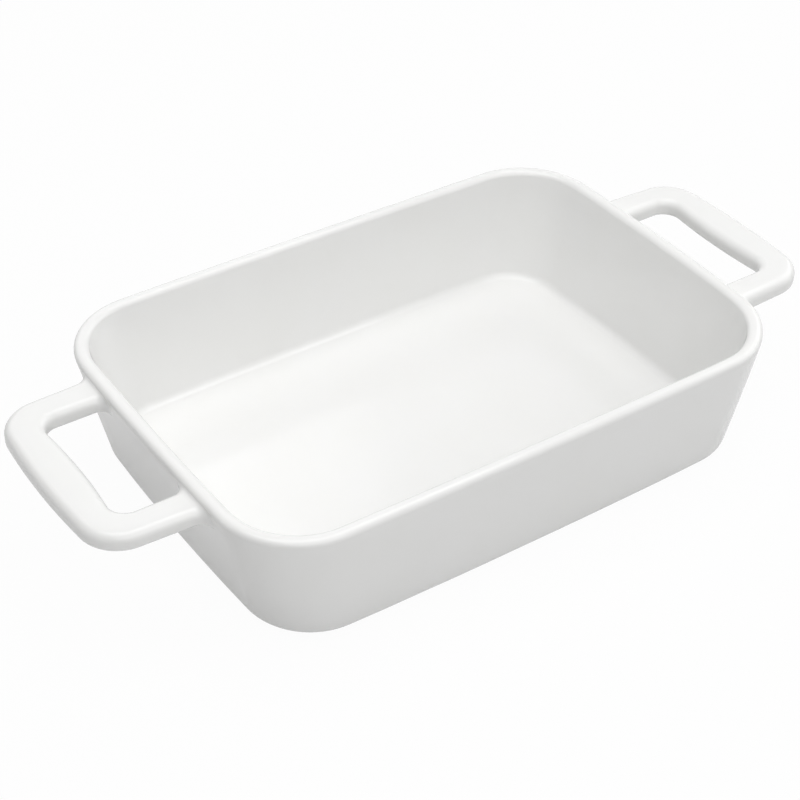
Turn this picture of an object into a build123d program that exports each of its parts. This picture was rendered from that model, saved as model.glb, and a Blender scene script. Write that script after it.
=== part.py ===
"""A rectangular stoneware lasagna dish with a looped handle at each end.

Sizes are in millimetres. The dish stands on its foot at z = 0, the long way along X, with its
middle over the origin. One handle points to +X (right) and the other to -X (left).
"""
import os

from build123d import *

# Basin, outside. Lengths and widths are taken across the middles of the sides, and the rim's
# are where the slanted walls would reach the level of the crown if the lip weren't rounded.
rim_length = 331.4
rim_width = 225.0
rim_corner = 45.3
rim_end_bow = 2.5
rim_side_bow = 1.1
base_length = 300.1
base_width = 208.8
base_corner = 37.1
base_end_bow = 3.6
base_side_bow = 2.5
basin_height = 72.0
base_edge_radius = 6.0

# Basin, inside
wall = 7.4
floor_thickness = 7.5
floor_fillet = 7.0
lip_outer_radius = 3.6
lip_inner_radius = 2.6

# Foot: a low ring, left bare of glaze, that the dish stands on
foot_height = 1.5
foot_width = 5.0
foot_inset = 9.0
foot_edge_radius = 0.4

# Handles: flat loops of one thickness. The depth runs from the rim out to the grip's corners.
handle_depth = 49.9
handle_bow = 3.8
handle_half_width = 57.8
handle_root_spread = 2.7
handle_corner = 22.2
handle_thickness = 10.2
handle_below_rim = 4.5
handle_edge_radius = 3.2
grip_width = 15.5
arm_width = 16.5
hole_bow = 2.7
hole_corner = 9.2

# Each handle sits this far off the middle of its end, along Y
left_handle_offset = 3.7
right_handle_offset = -6.6

# Roots: short stubs on the basin that the handles are joined to, hollowed smoothly into the wall
root_hollow = 8.0
root_land = 1.5

# Places that follow from the sizes above. Reaches are measured from the middle of the dish.
handle_top = basin_height - handle_below_rim
handle_bottom = handle_top - handle_thickness
handle_reach = rim_length / 2 + handle_depth
hole_reach = handle_reach - grip_width
hole_half_width = handle_half_width - arm_width


def basin_length(height):
    """The basin's outside length at a height above its underside."""
    return base_length + (rim_length - base_length) * height / basin_height


root_reach = basin_length(handle_bottom) / 2 - wall
seam_reach = basin_length(handle_top) / 2 + root_hollow + root_land


def bowed_outline(length, width, corner, end_bow, side_bow):
    """A rounded rectangle whose four sides bow outwards at their middles."""
    half_length = length / 2
    half_width = width / 2
    corner_x = half_length - end_bow
    corner_y = half_width - side_bow
    near_side = ThreePointArc((-corner_x, -corner_y), (0, -half_width), (corner_x, -corner_y))
    right_end = ThreePointArc((corner_x, -corner_y), (half_length, 0), (corner_x, corner_y))
    far_side = ThreePointArc((corner_x, corner_y), (0, half_width), (-corner_x, corner_y))
    left_end = ThreePointArc((-corner_x, corner_y), (-half_length, 0), (-corner_x, -corner_y))
    face = make_face([near_side, right_end, far_side, left_end])
    return fillet(face.vertices(), corner)


def basin_section(height, inset):
    """The basin's outline at a height above its underside, drawn in from the outside."""
    share = height / basin_height
    outline = bowed_outline(
        basin_length(height) - inset * 2,
        base_width + (rim_width - base_width) * share - inset * 2,
        base_corner + (rim_corner - base_corner) * share - inset,
        base_end_bow + (rim_end_bow - base_end_bow) * share,
        base_side_bow + (rim_side_bow - base_side_bow) * share,
    )
    return Pos(0, 0, foot_height + height) * outline


def slanted_block(low, inset):
    """A solid with the basin's slanted sides, from a height above its underside to the crown."""
    return loft([basin_section(low, inset), basin_section(basin_height, inset)], ruled=True)


def lowest_edges(solid):
    """The edges around the lowest face of a solid."""
    return solid.faces().sort_by(Axis.Z)[0].edges()


def highest_face(solid):
    return solid.faces().sort_by(Axis.Z)[-1]


def make_block():
    """The basin's outside, solid all through, rounded under its walls and over its lip."""
    block = slanted_block(0, 0)
    block = fillet(lowest_edges(block), base_edge_radius)
    return fillet(highest_face(block).edges(), lip_outer_radius)


def make_basin(handle_roots):
    """The floor, the walls, the lip and the short roots that the handles are joined to."""
    block = make_block()
    joined = block + handle_roots
    corners = new_edges(block, *handle_roots, combined=joined)
    casting = fillet(corners, root_hollow)
    inside = slanted_block(floor_thickness, wall)
    basin = casting - fillet(lowest_edges(inside), floor_fillet)
    inner_lip = highest_face(basin).inner_wires()[0].edges()
    return fillet(inner_lip, lip_inner_radius)


def make_foot():
    """The ring under the basin, face to face with its underside."""
    ring = basin_section(0, foot_inset) - basin_section(0, foot_inset + foot_width)
    ring = Pos(0, 0, -foot_height) * extrude(ring, amount=foot_height)
    return fillet(lowest_edges(ring), foot_edge_radius)


def loop_end(reach, half_width, bow, root_x, root_half_width, corner):
    """A face from the wall out to a bowed end with two rounded corners."""
    sides = Polyline(
        (reach, half_width),
        (root_x, root_half_width),
        (root_x, -root_half_width),
        (reach, -half_width),
    )
    end = ThreePointArc((reach, -half_width), (reach + bow, 0), (reach, half_width))
    face = make_face([sides, end])
    return fillet(face.vertices().group_by(Axis.X)[-1], corner)


def make_strap(side, offset):
    """One handle's loop, with its arms run on into the wall: side is 1 for right, -1 for left."""
    root_half_width = handle_half_width + handle_root_spread
    plate = loop_end(
        handle_reach, handle_half_width, handle_bow, root_reach, root_half_width, handle_corner
    )
    hole = loop_end(hole_reach, hole_half_width, -hole_bow, 0, hole_half_width, hole_corner)
    strap = extrude(plate - hole, amount=handle_thickness)
    outline = strap.faces().filter_by(Axis.Z).edges()
    roots = outline.filter_by(Axis.Y).group_by(Axis.X)[0]
    strap = fillet(outline - roots, handle_edge_radius)
    turn = Rot(0, 0, 90 - 90 * side)
    return Pos(0, offset, foot_height + handle_bottom) * turn * strap


def make_parts():
    """Every piece of the dish by name."""
    handles = {}
    roots = []
    ends = {"left_handle": (-1, left_handle_offset), "right_handle": (1, right_handle_offset)}
    for name, (side, offset) in ends.items():
        strap = make_strap(side, offset)
        seam = Plane((side * seam_reach, 0, 0), z_dir=(side, 0, 0))
        handles[name] = split(strap, seam, keep=Keep.TOP)
        roots += split(strap, seam, keep=Keep.BOTTOM).solids()
    return {"basin": make_basin(roots), "foot_ring": make_foot(), **handles}


os.makedirs("parts", exist_ok=True)
for name, shape in make_parts().items():
    shape.label = name
    export_step(shape, f"parts/{name}.step")
    size = shape.bounding_box().size
    print(f"{name}: {shape.volume / 1000:.2f} cm3, {size.X:.1f} x {size.Y:.1f} x {size.Z:.1f} mm")
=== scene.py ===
"""A white glazed stoneware lasagna dish on a pale table, dressed around its CAD frame.

Shapes are worked out in millimetres, and meshes are built in metres.
"""
import bisect
import math
from types import SimpleNamespace

import bpy
from mathutils import Matrix, Vector, noise


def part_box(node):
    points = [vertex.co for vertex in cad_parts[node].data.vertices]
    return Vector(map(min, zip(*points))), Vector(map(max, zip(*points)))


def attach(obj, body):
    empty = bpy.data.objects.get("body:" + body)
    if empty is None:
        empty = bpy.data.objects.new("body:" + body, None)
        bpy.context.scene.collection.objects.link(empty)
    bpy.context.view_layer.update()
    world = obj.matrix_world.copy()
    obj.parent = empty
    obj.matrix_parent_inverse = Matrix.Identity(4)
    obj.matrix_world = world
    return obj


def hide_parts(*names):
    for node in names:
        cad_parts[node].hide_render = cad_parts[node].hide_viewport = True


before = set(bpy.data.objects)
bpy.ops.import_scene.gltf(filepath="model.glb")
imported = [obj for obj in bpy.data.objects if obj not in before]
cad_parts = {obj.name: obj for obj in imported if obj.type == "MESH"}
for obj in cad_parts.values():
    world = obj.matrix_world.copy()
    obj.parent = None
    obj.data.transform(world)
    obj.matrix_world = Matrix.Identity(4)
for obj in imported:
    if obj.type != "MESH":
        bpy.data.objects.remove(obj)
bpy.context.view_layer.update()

bl_info = {
    "name": "Lasagna dish",
    "version": (1, 0, 0),
    "blender": (4, 5, 0),
    "location": "View3D > Sidebar > Lasagna dish",
    "description": "Builds a glazed stoneware lasagna dish with two looped handles",
    "category": "Add Mesh",
}

MM = 0.001
BODY = "root"
GLAZE = "glazed_stoneware_gloss_white"
QUARTER = math.pi / 2


def linear(text):
    """An sRGB hex colour as linear RGBA."""
    parts = [int(text[i:i + 2], 16) / 255 for i in (0, 2, 4)]
    return [c / 12.92 if c <= 0.04045 else ((c + 0.055) / 1.055) ** 2.4 for c in parts] + [1.0]


# Properties

def length(name, description, default):
    """A length that a user may change, with its default given in millimetres."""
    return bpy.props.FloatProperty(
        name=name, description=description, default=default * MM, min=0.0, precision=4, unit="LENGTH"
    )


def power(name, description, default):
    """A lamp's power in watts."""
    return bpy.props.FloatProperty(
        name=name, description=description, default=default, min=0.0, unit="POWER"
    )


def share(name, description, default):
    """A share from nothing to all."""
    return bpy.props.FloatProperty(
        name=name, description=description, default=default, min=0.0, max=1.0, subtype="FACTOR"
    )


def colour(name, description, default):
    """A colour, with its default given as sRGB hex."""
    return bpy.props.FloatVectorProperty(
        name=name, description=description, default=linear(default), size=4, min=0.0, max=1.0,
        subtype="COLOR"
    )


def in_mm(group):
    """The lengths of a property group as plain numbers in millimetres."""
    return SimpleNamespace(**{name: getattr(group, name) / MM for name in type(group).__annotations__})


class BasinSizes(bpy.types.PropertyGroup):
    """Outside, inside and lip of the basin."""
    rim_length: length("Rim length", "Length where the walls would reach the crown", 331.4)
    rim_width: length("Rim width", "Width where the walls would reach the crown", 225.0)
    rim_corner: length("Rim corner", "Radius of the rim's corners", 45.3)
    rim_end_bow: length("Rim end bow", "How far the rim's short sides bow out", 2.5)
    rim_side_bow: length("Rim side bow", "How far the rim's long sides bow out", 1.1)
    base_length: length("Base length", "Length at the underside", 300.1)
    base_width: length("Base width", "Width at the underside", 208.8)
    base_corner: length("Base corner", "Radius of the base's corners", 37.1)
    base_end_bow: length("Base end bow", "How far the base's short sides bow out", 3.6)
    base_side_bow: length("Base side bow", "How far the base's long sides bow out", 2.5)
    base_edge: length("Base edge radius", "Rounding under the walls", 6.0)
    height: length("Height", "From the underside up to the rim's crown", 72.0)
    foot: length("Foot height", "How high the foot ring holds the underside", 1.5)
    wall: length("Wall", "Thickness of the walls", 7.4)
    floor: length("Floor", "Thickness of the floor", 5.5)
    floor_fillet: length("Floor fillet", "Rounding between floor and walls, inside", 4.0)
    lip_outer: length("Lip outer radius", "Rounding of the lip, outside", 3.6)
    lip_inner: length("Lip inner radius", "Rounding of the lip, inside", 2.6)
    left_lip: length("Left lip", "How much thicker the lip is at the left end", 1.2)
    right_lip: length("Right lip", "How much thicker the lip is at the right end", 0.8)
    slack_outer: length("Slack outside", "How far the near right corner draws in, outside", 1.8)
    slack_inner: length("Slack inside", "How far the near right corner draws in, inside", 3.8)
    slack_width: length("Slack width", "How far from that corner the slack reaches", 65.0)


class HandleSizes(bpy.types.PropertyGroup):
    """The loops at the two ends."""
    depth: length("Depth", "From the rim out to the grip's corners", 49.9)
    bow: length("Bow", "How far the grip bows out", 3.8)
    half_width: length("Half width", "From the loop's middle to the outside of an arm", 57.8)
    root_spread: length("Root spread", "How much wider the arms stand at the wall", 2.7)
    corner: length("Corner", "Radius of the outer corners", 22.2)
    thickness: length("Thickness", "Thickness of the loop", 10.2)
    below_rim: length("Below rim", "From the rim's crown down to the loop's top", 4.5)
    top_edge: length("Top edge radius", "Rounding along the loop's upper edges", 4.6)
    under_edge: length("Under edge radius", "Rounding along the loop's lower edges", 3.0)
    grip: length("Grip width", "Width of the grip at its corners", 15.5)
    arm: length("Arm width", "Width of an arm at its corner", 16.5)
    hole_bow: length("Hole bow", "How far the grip's inner edge bows in", 2.7)
    hole_corner: length("Hole corner", "Radius of the finger gap's corners", 9.2)
    hollow: length("Root hollow", "Radius of the hollow where an arm meets the wall", 9.0)
    top_hollow: length("Top hollow", "Radius of that hollow over the arm", 3.2)
    under_hollow: length("Under hollow", "Radius of that hollow under the arm", 2.0)


class GlazeLook(bpy.types.PropertyGroup):
    """Colour and surface of the glaze and of the bare clay."""
    glaze: colour("Glaze", "Colour of the glaze", "EEEEED")
    thin: colour("Thin glaze", "Colour where the glaze runs thin", "EBEBE8")
    clay: colour("Clay", "Colour of the bare clay", "D6CBB8")
    grit: colour("Grit", "Colour of the grit in the clay", "A8987F")
    roughness: share("Roughness", "Roughness of the fired glaze", 0.1)
    unevenness: length("Unevenness", "How far the cast surface strays from true", 0.22)


class StageLook(bpy.types.PropertyGroup):
    """Table and lamps."""
    table: colour("Table", "Colour of the table's paint", "E0E0E0")
    overhead: power("Overhead", "Power of the overhead softbox", 13.8)
    near: power("Near", "Power of the softbox on the near side", 7.2)
    right: power("Right", "Power of the softbox on the right", 6.0)
    far: power("Far", "Power of the softbox on the far side", 3.0)
    sky: share("Sky", "Strength of the even light all round, where 1 is white", 0.26)
    shadow: share("Shadow", "Share of the dish's shadow that the table shows", 0.04)
    mirrored: share("Mirrored shadow", "Share of that shadow in the glaze's reflections", 0.5)


# Plan outlines, in millimetres

def arc(centre, radius, start, end, steps):
    """Points along an arc, both ends included."""
    angles = [start + (end - start) * i / steps for i in range(steps + 1)]
    return [(centre[0] + radius * math.cos(a), centre[1] + radius * math.sin(a)) for a in angles]


def bow_radius(half_chord, bow):
    """The radius of the arc that rises by bow over a chord; it has the bow's sign."""
    return (half_chord ** 2 + bow ** 2) / (2 * bow)


def bowed_outline(long, wide, corner, end_bow, side_bow, steps=(12, 16, 20)):
    """Points round a rounded rectangle whose four sides bow outwards, from the middle of +X."""
    end_radius = bow_radius(wide / 2 - side_bow, end_bow)
    side_radius = bow_radius(long / 2 - end_bow, side_bow)
    end = Vector((long / 2 - end_radius, 0))
    side = Vector((0, wide / 2 - side_radius))
    reach_end = end_radius - corner
    reach_side = side_radius - corner
    apart = (side - end).length
    along = (reach_end ** 2 - reach_side ** 2 + apart ** 2) / (2 * apart)
    across = math.sqrt(reach_end ** 2 - along ** 2)
    axis = (side - end) / apart
    centre = end + axis * along + Vector((-axis.y, axis.x)) * across
    turn_end = math.atan2(centre.y - end.y, centre.x - end.x)
    turn_side = math.atan2(centre.y - side.y, centre.x - side.x)
    quarter = arc(end, end_radius, 0, turn_end, steps[0])
    quarter += arc(centre, corner, turn_end, turn_side, steps[1])[1:]
    quarter += arc(side, side_radius, turn_side, QUARTER, steps[2])[1:]
    half = quarter + [(-x, y) for x, y in quarter[-2::-1]]
    return half + [(x, -y) for x, y in half[-2:0:-1]]


def basin_length(sizes, height):
    """The outside length at a height above the underside."""
    return sizes.base_length + (sizes.rim_length - sizes.base_length) * height / sizes.height


def uneven_lip(sizes, x, y, inside):
    """How far the rim is drawn in at a place: it is thicker at the ends and slack at one corner."""
    corner = Vector((sizes.rim_length, -sizes.rim_width)) / 2
    thicker = (sizes.right_lip if x > 0 else sizes.left_lip) * inside * (x / corner.x) ** 6
    near = max(0.0, 1 - (Vector((x, y)) - corner).length / sizes.slack_width)
    slack = sizes.slack_outer + (sizes.slack_inner - sizes.slack_outer) * inside
    slack *= near ** 2 * (3 - 2 * near)
    return Vector((-math.copysign(thicker, x), 0)) - corner.normalized() * slack


def basin_outline(sizes, height, inset):
    """One level of the basin's surface in plan, drawn in from its outside."""
    share = height / sizes.height
    outline = bowed_outline(
        basin_length(sizes, height) - inset * 2,
        sizes.base_width + (sizes.rim_width - sizes.base_width) * share - inset * 2,
        sizes.base_corner + (sizes.rim_corner - sizes.base_corner) * share - inset,
        sizes.base_end_bow + (sizes.rim_end_bow - sizes.base_end_bow) * share,
        sizes.base_side_bow + (sizes.rim_side_bow - sizes.base_side_bow) * share,
    )
    inside = min(1.0, inset / sizes.wall)
    return [Vector((x, y)) + uneven_lip(sizes, x, y, inside) * share ** 2 for x, y in outline]


def basin_ring(sizes, height, inset):
    """One level of the basin's surface as points in metres, drawn in from its outside."""
    return [Vector((x, y, sizes.foot + height)) * MM for x, y in basin_outline(sizes, height, inset)]


def shrunk_rings(ring, shares):
    """Copies of a level ring drawn in towards its middle."""
    return [[Vector((p.x * s, p.y * s, p.z)) for p in ring] for s in shares]


# Meshes

def tube(rings):
    """Vertices and faces of a closed skin through rings of equal count, capped at both ends."""
    count = len(rings[0])
    points = [p for ring in rings for p in ring]
    faces = []
    for level in range(len(rings) - 1):
        for i in range(count):
            j = (i + 1) % count
            a, b = level * count, (level + 1) * count
            faces.append((a + i, a + j, b + j, b + i))
    for ring, base in ((rings[0], 0), (rings[-1], (len(rings) - 1) * count)):
        middle = len(points)
        points.append(sum(ring, Vector()) / count)
        for i in range(count):
            j = (i + 1) % count
            faces.append((middle, base + j, base + i) if base == 0 else (middle, base + i, base + j))
    return points, faces


def uneven(point, reach):
    """How far a hand-finished cast strays from true at a point: long waves with short ones on top."""
    long_wave, short_wave, short_share = 85 * MM, 21 * MM, 0.3
    return reach * (noise.noise(point / long_wave) + short_share * noise.noise(point / short_wave))


def make_piece(name, rings, material, replaced, reach):
    """A smooth piece of the dish that rides on its body and stands for CAD nodes."""
    mesh = bpy.data.meshes.new(name)
    points, faces = tube(rings)
    mesh.from_pydata(points, [], faces)
    mesh.validate()
    mesh.update()
    normals = [v.normal.copy() for v in mesh.vertices]
    for vertex, normal in zip(mesh.vertices, normals):
        vertex.co += normal * uneven(vertex.co, reach)
    mesh.shade_smooth()
    mesh.materials.append(material)
    piece = bpy.data.objects.new(name, mesh)
    bpy.context.scene.collection.objects.link(piece)
    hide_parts(*replaced)
    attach(piece, BODY)
    return piece


def basin_profile(sizes):
    """The basin's section as (height, inset) pairs, from under its edge over the lip to its floor."""
    top = sizes.height
    steps = 10
    turns = [QUARTER * i / steps for i in range(steps + 1)]
    base, outer, inner, fillet = sizes.base_edge, sizes.lip_outer, sizes.lip_inner, sizes.floor_fillet
    profile = [(base * (1 - math.cos(a)), base * (1 - math.sin(a))) for a in turns]
    rise = top - outer - base
    profile += [(base + rise * i / steps, 0) for i in range(1, steps)]
    profile += [(top - outer + outer * math.sin(a), outer * (1 - math.cos(a))) for a in turns]
    profile += [
        (top - inner + inner * math.cos(a), sizes.wall - inner * (1 - math.sin(a))) for a in turns
    ]
    drop = top - inner - sizes.floor - fillet
    profile += [(top - inner - drop * i / steps, sizes.wall) for i in range(1, steps)]
    profile += [
        (sizes.floor + fillet * (1 - math.sin(a)), sizes.wall + fillet * (1 - math.cos(a)))
        for a in turns
    ]
    return profile


def basin_rings(sizes):
    """Every level of the basin, from the middle of its underside to the middle of its floor."""
    middle_out_shares = [0.03, 0.15, 0.3, 0.45, 0.6, 0.75, 0.88, 0.97]
    rings = [basin_ring(sizes, height, inset) for height, inset in basin_profile(sizes)]
    under = shrunk_rings(rings[0], middle_out_shares)
    inside = shrunk_rings(rings[-1], middle_out_shares[::-1])
    return under + rings + inside


def wall_face(sizes, side, y, height):
    """How far out an end wall's outside is at a place across the dish, lip and corners included."""
    over_lip = max(0.0, height - (sizes.height - sizes.lip_outer))
    inset = sizes.lip_outer - math.sqrt(max(0.0, sizes.lip_outer ** 2 - over_lip ** 2))
    outline = basin_outline(sizes, height, inset)
    places = sorted((side * p.y, side * p.x) for p in outline if side * p.x > 0)
    following = bisect.bisect(places, (y,))
    (y_before, x_before), (y_after, x_after) = places[following - 1:following + 1]
    return x_before + (x_after - x_before) * (y - y_before) / (y_after - y_before)


def half_loop(root_x, root_half, reach, half, bow, corner, steps):
    """Plan points from an arm's root round the corner to the middle of the grip."""
    root = Vector((root_x, root_half))
    along = (Vector((reach, half)) - root).normalized()
    inward = Vector((along.y, -along.x))
    radius = bow_radius(half, bow)
    side = math.copysign(1, radius)
    hub = Vector((reach + bow - radius, 0))
    start = root + inward * corner - hub
    slope = start.dot(along)
    travel = -slope + side * math.sqrt(slope ** 2 - start.length_squared + (radius - corner) ** 2)
    centre = hub + start + along * travel
    outward = (centre - hub).normalized() * side
    arm_end = centre - inward * corner
    arm_steps, corner_steps, grip_steps = steps
    points = [root.lerp(arm_end, i / arm_steps) for i in range(arm_steps)]
    first = math.atan2(-inward.y, -inward.x)
    last = math.atan2(outward.y, outward.x)
    points += [Vector(p) for p in arc(centre, corner, first, last, corner_steps)]
    grip_start = points[-1] - hub
    opening = math.atan2(grip_start.y, abs(grip_start.x))
    for i in range(1, grip_steps + 1):
        a = opening * (1 - i / grip_steps)
        points.append(hub + Vector((side * math.cos(a), math.sin(a))) * abs(radius))
    return points


def loop_section(handle, steps=8):
    """Rows round a strap's section: side of its middle, side of its mid level, edge radius, normal."""
    rows = []
    for corner in range(4):
        across = 1 if corner in (0, 3) else -1
        up = 1 if corner < 2 else -1
        edge = handle.top_edge if up > 0 else handle.under_edge
        for i in range(steps + 1):
            a = QUARTER * (corner + i / steps)
            rows.append((across, up, edge, Vector((math.cos(a), math.sin(a)))))
    return rows


def strap_ring(handle, outer, inner, rows):
    """One section of the strap between an outer and an inner plan point, as (point, normal) pairs."""
    middle = (outer + inner) / 2
    direction = (outer - inner).normalized()
    half_width = (outer - inner).length / 2
    ring = []
    for across, up, edge, normal in rows:
        place = middle + direction * (across * (half_width - edge) + edge * normal.x)
        height = up * (handle.thickness / 2 - edge) + edge * normal.y
        facing = Vector((direction.x * normal.x, direction.y * normal.x, normal.y))
        ring.append((Vector((place.x, place.y, height)), facing))
    return ring


def root_rings(sizes, handle, side, ring, inner_ring, offset, level, steps=10):
    """Sections that spread from an arm's first section into the wall, nearest the wall first."""
    sink, tail_sink, tail_share, buried = 0.05, 0.4, 0.25, 2.0
    tries, crowding = 3, 0.8
    columns = []
    for (point, facing), (deep, _) in zip(ring, inner_ring):
        across = Vector((0, facing.y, facing.z)).normalized()
        along = (point - deep).normalized()
        foot = point
        for _ in range(tries):
            face = wall_face(sizes, side, foot.y + offset, foot.z + level)
            foot = deep + along * ((face - deep.x) / along.x)
        rise = handle.top_hollow if across.z > 0 else handle.under_hollow
        reach = Vector((0, across.y * handle.hollow, across.z * rise))
        start = foot + along * reach.length
        end = foot + reach
        end.x = wall_face(sizes, side, end.y + offset, end.z + level) - sink
        tail = end + reach * tail_share
        tail.x = wall_face(sizes, side, tail.y + offset, tail.z + level) - tail_sink
        column = [tail - Vector((buried, 0, 0)), tail]
        for i in range(steps + 1):
            t = (1 - i / steps) ** crowding
            column.append(start * (1 - t) ** 2 + foot * (2 * t * (1 - t)) + end * t ** 2)
        columns.append(column)
    return [list(section) for section in zip(*columns)]


def handle_rings(sizes, handle, side, offset):
    """Every section of one handle, from one root round the grip to the other."""
    top = sizes.height - handle.below_rim
    level = top - handle.thickness / 2
    reach = sizes.rim_length / 2 + handle.depth
    hole_half = handle.half_width - handle.arm
    root_x = basin_length(sizes, top - handle.thickness) / 2 - sizes.wall
    steps = (14, 14, 14)
    outer = half_loop(
        root_x, handle.half_width + handle.root_spread, reach, handle.half_width, handle.bow,
        handle.corner, steps
    )
    inner = half_loop(
        root_x, hole_half, reach - handle.grip, hole_half, -handle.hole_bow, handle.hole_corner, steps
    )
    rows = loop_section(handle)
    rings = [strap_ring(handle, a, b, rows) for a, b in zip(outer, inner)]
    clear = basin_length(sizes, top) / 2 + handle.hollow
    first = next(i for i, ring in enumerate(rings) if min(p.x for p, _ in ring) > clear)
    arms = []
    for mirror in (1, -1):
        flip = Vector((1, mirror, 1))
        half = [[(p * flip, n * flip) for p, n in ring] for ring in rings]
        roots = root_rings(sizes, handle, side, half[first], half[0], side * offset, level)
        arms.append(roots + [[p for p, _ in ring] for ring in half[first:]])
    whole = arms[0] + arms[1][-2::-1]
    turn = Matrix.Rotation(math.pi if side < 0 else 0, 4, "Z")
    lift = Vector((0, offset, sizes.foot + level))
    return [[(turn @ p + lift) * MM for p in ring] for ring in whole]


# Materials

def add_node(tree, kind, settings=None, inputs=None):
    """Adds a node with its settings; an input is a value or another node's output socket."""
    node = tree.nodes.new(kind)
    for key, value in (settings or {}).items():
        setattr(node, key, value)
    for key, value in (inputs or {}).items():
        if isinstance(value, bpy.types.NodeSocket):
            tree.links.new(value, node.inputs[key])
        else:
            node.inputs[key].default_value = value
    return node


def new_material(name):
    """An empty node material and its tree."""
    material = bpy.data.materials.new(name)
    material.use_nodes = True
    material.node_tree.nodes.clear()
    return material, material.node_tree


def glazed_stoneware(look):
    """Gloss white tin glaze on cast stoneware: dipped and fired, so it is thick in the corners, runs
    thin and warmer over the edges, and its skin has a faint orange peel and a few pinholes."""
    material, tree = new_material(GLAZE)
    place = add_node(tree, "ShaderNodeTexCoord").outputs["Object"]
    peel_width, mottle_width, pinhole_gap = 5 * MM, 38 * MM, 14 * MM
    peel = add_node(tree, "ShaderNodeTexNoise", inputs={
        "Vector": place, "Scale": 1 / peel_width, "Detail": 2.0, "Roughness": 0.45})
    mottle = add_node(tree, "ShaderNodeTexNoise", inputs={
        "Vector": place, "Scale": 1 / mottle_width, "Detail": 3.0, "Roughness": 0.5})
    pinholes = add_node(tree, "ShaderNodeTexVoronoi", inputs={"Vector": place, "Scale": 1 / pinhole_gap})
    pit = add_node(tree, "ShaderNodeMapRange", inputs={
        "Value": pinholes.outputs["Distance"], "From Min": 0.0, "From Max": 0.03,
        "To Min": 0.0, "To Max": 1.0})
    edges = add_node(tree, "ShaderNodeNewGeometry").outputs["Pointiness"]
    thinness = add_node(tree, "ShaderNodeMapRange", inputs={
        "Value": edges, "From Min": 0.51, "From Max": 0.56, "To Min": 0.0, "To Max": 0.7})
    cloud = add_node(tree, "ShaderNodeMapRange", inputs={
        "Value": mottle.outputs["Fac"], "From Min": 0.35, "From Max": 0.75, "To Min": 0.0, "To Max": 0.3})
    thin = add_node(tree, "ShaderNodeMath", {"operation": "MAXIMUM"}, {
        0: thinness.outputs["Result"], 1: cloud.outputs["Result"]})
    colour = add_node(tree, "ShaderNodeMix", {"data_type": "RGBA"}, {
        "Factor": thin.outputs["Value"], 6: look.glaze, 7: look.thin})
    gloss = add_node(tree, "ShaderNodeMapRange", inputs={
        "Value": mottle.outputs["Fac"], "From Min": 0.3, "From Max": 0.7,
        "To Min": look.roughness * 0.8, "To Max": look.roughness * 1.3})
    skin = add_node(tree, "ShaderNodeBump", inputs={
        "Strength": 0.12, "Distance": 0.05 * MM, "Height": peel.outputs["Fac"]})
    pitted = add_node(tree, "ShaderNodeBump", inputs={
        "Strength": 0.3, "Distance": 0.08 * MM, "Height": pit.outputs["Result"],
        "Normal": skin.outputs["Normal"]})
    shader = add_node(tree, "ShaderNodeBsdfPrincipled", inputs={
        "Base Color": colour.outputs[2], "Roughness": gloss.outputs["Result"], "IOR": 1.5,
        "Normal": pitted.outputs["Normal"]})
    add_node(tree, "ShaderNodeOutputMaterial", inputs={"Surface": shader.outputs["BSDF"]})
    return material


def bare_stoneware(look):
    """Unglazed fired stoneware, wiped clean before firing: matt and warm, with fine grit."""
    material, tree = new_material("bare_stoneware_fired")
    place = add_node(tree, "ShaderNodeTexCoord").outputs["Object"]
    grit_width, cloud_width = 0.8 * MM, 12 * MM
    grit = add_node(tree, "ShaderNodeTexVoronoi", inputs={"Vector": place, "Scale": 1 / grit_width})
    cloud = add_node(tree, "ShaderNodeTexNoise", inputs={
        "Vector": place, "Scale": 1 / cloud_width, "Detail": 4.0})
    speck = add_node(tree, "ShaderNodeMapRange", inputs={
        "Value": grit.outputs["Distance"], "From Min": 0.1, "From Max": 0.45,
        "To Min": 0.65, "To Max": 0.0})
    stain = add_node(tree, "ShaderNodeMath", {"operation": "MULTIPLY"}, {
        0: speck.outputs["Result"], 1: cloud.outputs["Fac"]})
    colour = add_node(tree, "ShaderNodeMix", {"data_type": "RGBA"}, {
        "Factor": stain.outputs["Value"], 6: look.clay, 7: look.grit})
    relief = add_node(tree, "ShaderNodeBump", inputs={
        "Strength": 0.5, "Distance": 0.12 * MM, "Height": grit.outputs["Distance"]})
    shader = add_node(tree, "ShaderNodeBsdfPrincipled", inputs={
        "Base Color": colour.outputs[2], "Roughness": 0.85, "IOR": 1.5,
        "Normal": relief.outputs["Normal"]})
    add_node(tree, "ShaderNodeOutputMaterial", inputs={"Surface": shader.outputs["BSDF"]})
    return material


def seen_share(tree, to_eye, mirrored):
    """The share of plain white that the surroundings show to the eye, and in a reflection."""
    rays = add_node(tree, "ShaderNodeLightPath")
    seen = 0.0
    for kind, amount in (("Camera", to_eye), ("Glossy", mirrored), ("Transmission", mirrored)):
        part = add_node(tree, "ShaderNodeMath", {"operation": "MULTIPLY"}, {
            0: rays.outputs["Is %s Ray" % kind], 1: amount})
        seen = add_node(tree, "ShaderNodeMath", {"operation": "MAXIMUM"}, {
            0: seen, 1: part.outputs["Value"]}).outputs["Value"]
    return seen


def white_table(stage):
    """A plain matt table. To the eye it is nearly plain white, in reflections half so, with its real
    light and shadow making up the rest, and it lights the dish as a pale grey table would."""
    material, tree = new_material("painted_table_matt_white")
    paint = add_node(tree, "ShaderNodeBsdfDiffuse", inputs={"Color": stage.table})
    white = add_node(tree, "ShaderNodeEmission", inputs={"Color": (1, 1, 1, 1), "Strength": 1.0})
    both = add_node(tree, "ShaderNodeMixShader", inputs={
        "Fac": seen_share(tree, 1 - stage.shadow, 1 - stage.mirrored),
        1: paint.outputs["BSDF"], 2: white.outputs["Emission"]})
    add_node(tree, "ShaderNodeOutputMaterial", inputs={"Surface": both.outputs["Shader"]})
    return material


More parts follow.
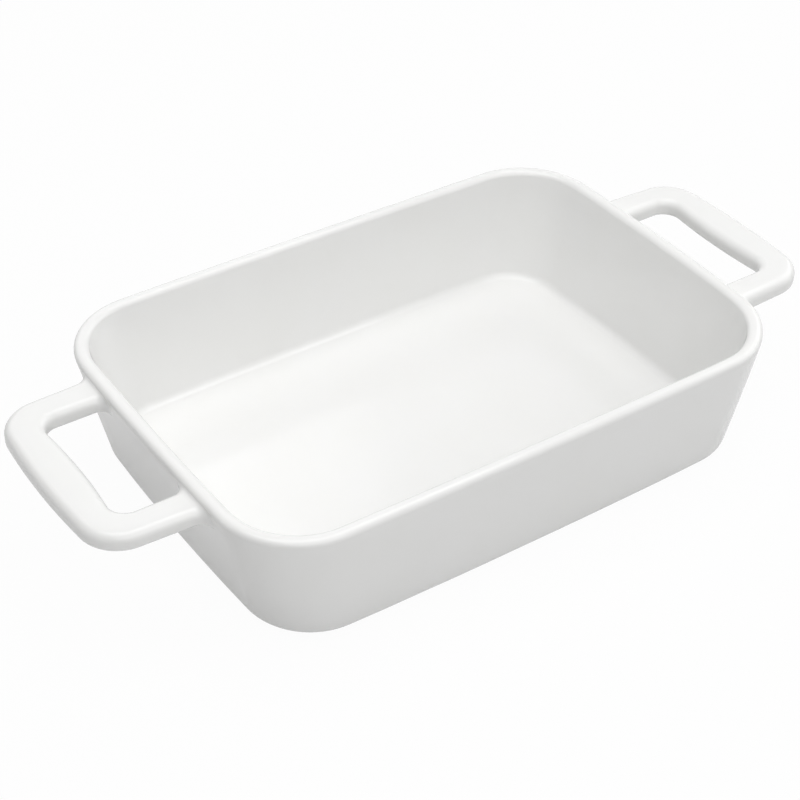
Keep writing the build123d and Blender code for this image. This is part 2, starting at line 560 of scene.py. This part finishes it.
def white_studio(stage):
    """Even soft light all round, seen as a plain white backdrop."""
    world = bpy.data.worlds.new("studio")
    world.use_nodes = True
    tree = world.node_tree
    tree.nodes.clear()
    light = add_node(tree, "ShaderNodeBackground", inputs={"Color": (1, 1, 1, 1), "Strength": stage.sky})
    white = add_node(tree, "ShaderNodeBackground", inputs={"Color": (1, 1, 1, 1), "Strength": 1.0})
    both = add_node(tree, "ShaderNodeMixShader", inputs={
        "Fac": seen_share(tree, 1.0, 1.0), 1: light.outputs["Background"], 2: white.outputs["Background"]})
    add_node(tree, "ShaderNodeOutputWorld", inputs={"Surface": both.outputs["Shader"]})
    return world


# Operators

class DISH_OT_basin(bpy.types.Operator):
    """Build the basin: floor, slanted walls and rounded lip"""
    bl_idname = "dish.basin"
    bl_label = "Basin"

    def execute(self, context):
        scene = context.scene
        rings = basin_rings(in_mm(scene.dish_basin))
        glaze = glazed_stoneware(scene.dish_look)
        make_piece("glazed_basin", rings, glaze, ["basin"], scene.dish_look.unevenness)
        return {"FINISHED"}


class DISH_OT_handles(bpy.types.Operator):
    """Build the two looped handles with their hollowed roots"""
    bl_idname = "dish.handles"
    bl_label = "Handles"

    def execute(self, context):
        scene = context.scene
        basin, handle = in_mm(scene.dish_basin), in_mm(scene.dish_handles)
        glaze = bpy.data.materials.get(GLAZE) or glazed_stoneware(scene.dish_look)
        for name, side in (("left_handle", -1), ("right_handle", 1)):
            low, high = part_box(name)
            offset = (low[1] + high[1]) / 2 / MM
            rings = handle_rings(basin, handle, side, offset)
            make_piece("glazed_" + name, rings, glaze, [name], scene.dish_look.unevenness)
        return {"FINISHED"}


class DISH_OT_foot(bpy.types.Operator):
    """Give the foot ring its bare fired clay"""
    bl_idname = "dish.foot"
    bl_label = "Foot ring"

    def execute(self, context):
        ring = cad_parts["foot_ring"]
        clay = bare_stoneware(context.scene.dish_look)
        ring.data.materials.clear()
        ring.data.materials.append(clay)
        return {"FINISHED"}


class DISH_OT_stage(bpy.types.Operator):
    """Set the table, the lamps and the camera"""
    bl_idname = "dish.stage"
    bl_label = "Table, lamps and camera"

    def execute(self, context):
        scene = context.scene
        self.make_table(scene)
        self.make_lamps(scene)
        self.make_camera(scene)
        scene.view_settings.view_transform = "Standard"
        return {"FINISHED"}

    def make_table(self, scene):
        half = 4.0
        low = -0.05 * MM
        mesh = bpy.data.meshes.new("table")
        corners = [(-half, -half, low), (half, -half, low), (half, half, low), (-half, half, low)]
        mesh.from_pydata(corners, [], [(0, 1, 2, 3)])
        mesh.materials.append(white_table(scene.dish_stage))
        table = bpy.data.objects.new("table", mesh)
        scene.collection.objects.link(table)

    def make_lamps(self, scene):
        stage = scene.dish_stage
        aim = Vector((0, 0, 0.03))
        softboxes = {
            "overhead": ((0, 0, 1.5), (1.6, 1.2), stage.overhead),
            "near": ((-0.3, -1.25, 1.0), (1.6, 1.0), stage.near),
            "right": ((1.4, 0, 1.0), (1.6, 1.0), stage.right),
            "far": ((0, 1.4, 1.0), (1.6, 1.0), stage.far),
        }
        for name, (place, size, power) in softboxes.items():
            lamp = bpy.data.lights.new(name + "_softbox", "AREA")
            lamp.shape = "RECTANGLE"
            lamp.size, lamp.size_y = size
            lamp.energy = power
            softbox = bpy.data.objects.new(name + "_softbox", lamp)
            softbox.location = place
            softbox.rotation_euler = (Vector(place) - aim).to_track_quat("Z", "Y").to_euler()
            scene.collection.objects.link(softbox)
        scene.world = white_studio(stage)

    def make_camera(self, scene):
        azimuth, elevation, roll = math.radians(-35.272), math.radians(38.065), math.radians(1.478)
        distance = 0.9701
        target = Vector((-0.0197, -0.0079, 0.0400))
        picture, focal_pixels, sensor = 800, 1843.7, 36.0
        flat = math.cos(elevation)
        back = Vector((math.sin(azimuth) * flat, -math.cos(azimuth) * flat, math.sin(elevation)))
        right = Vector((math.cos(azimuth), math.sin(azimuth), 0))
        up = back.cross(right)
        right, up = (
            right * math.cos(roll) + up * math.sin(roll),
            up * math.cos(roll) - right * math.sin(roll),
        )
        data = bpy.data.cameras.new("camera")
        data.sensor_width = sensor
        data.lens = focal_pixels / picture * sensor
        camera = bpy.data.objects.new("camera", data)
        turn = Matrix((right, up, back)).transposed().to_4x4()
        camera.matrix_world = Matrix.Translation(target + back * distance) @ turn
        scene.collection.objects.link(camera)
        scene.camera = camera


class DISH_PT_panel(bpy.types.Panel):
    """The dish's pieces in the sidebar"""
    bl_label = "Lasagna dish"
    bl_idname = "DISH_PT_panel"
    bl_space_type = "VIEW_3D"
    bl_region_type = "UI"
    bl_category = "Lasagna dish"

    def draw(self, context):
        for operator in OPERATORS:
            self.layout.operator(operator.bl_idname)


OPERATORS = (DISH_OT_basin, DISH_OT_handles, DISH_OT_foot, DISH_OT_stage)
GROUPS = {
    "dish_basin": BasinSizes, "dish_handles": HandleSizes, "dish_look": GlazeLook,
    "dish_stage": StageLook,
}


def register():
    for name, group in GROUPS.items():
        bpy.utils.register_class(group)
        setattr(bpy.types.Scene, name, bpy.props.PointerProperty(type=group))
    for item in (*OPERATORS, DISH_PT_panel):
        bpy.utils.register_class(item)


def unregister():
    for item in (DISH_PT_panel, *reversed(OPERATORS)):
        bpy.utils.unregister_class(item)
    for name, group in reversed(GROUPS.items()):
        delattr(bpy.types.Scene, name)
        bpy.utils.unregister_class(group)


def main():
    """Build the dish and its stage."""
    register()
    bpy.ops.dish.basin()
    bpy.ops.dish.handles()
    bpy.ops.dish.foot()
    bpy.ops.dish.stage()


if __name__ == "__main__":
    main()
